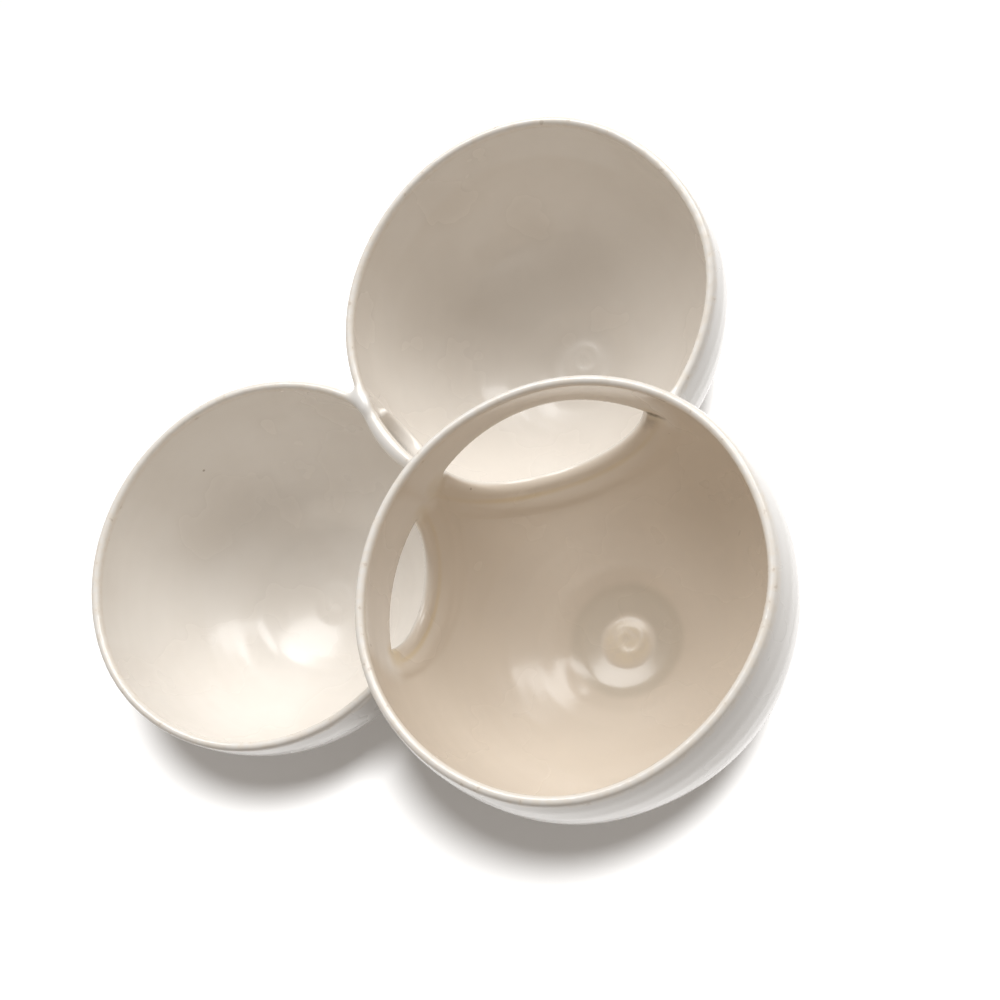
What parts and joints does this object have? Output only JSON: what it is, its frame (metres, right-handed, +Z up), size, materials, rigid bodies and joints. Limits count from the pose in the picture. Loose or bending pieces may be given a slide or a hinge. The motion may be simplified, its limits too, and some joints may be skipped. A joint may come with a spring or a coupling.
{
  "type": "joined bowl cluster",
  "caption": "Cluster of round thrown porcelain bowls luted together at their walls, with lens-shaped openings joining their insides.",
  "frame": {"origin": "middle of the footprint's bounding box, on the plane of the three ground flats that it stands on", "axes": "+Z up out of the bowls' mouths, +X from the left bowl to the back bowl, +Y from the front bowl to the two others"},
  "size_m": [0.2306, 0.2008, 0.079],
  "materials": {
    "white_glaze": "satin",
    "joint_glaze": "satin"
  },
  "bodies": {
    "root": {"front_bowl": "white_glaze", "back_bowl": "white_glaze", "left_bowl": "white_glaze", "front_back_seam": "joint_glaze", "front_left_seam": "joint_glaze", "back_left_seam": "joint_glaze"}
  },
  "joints": []
}
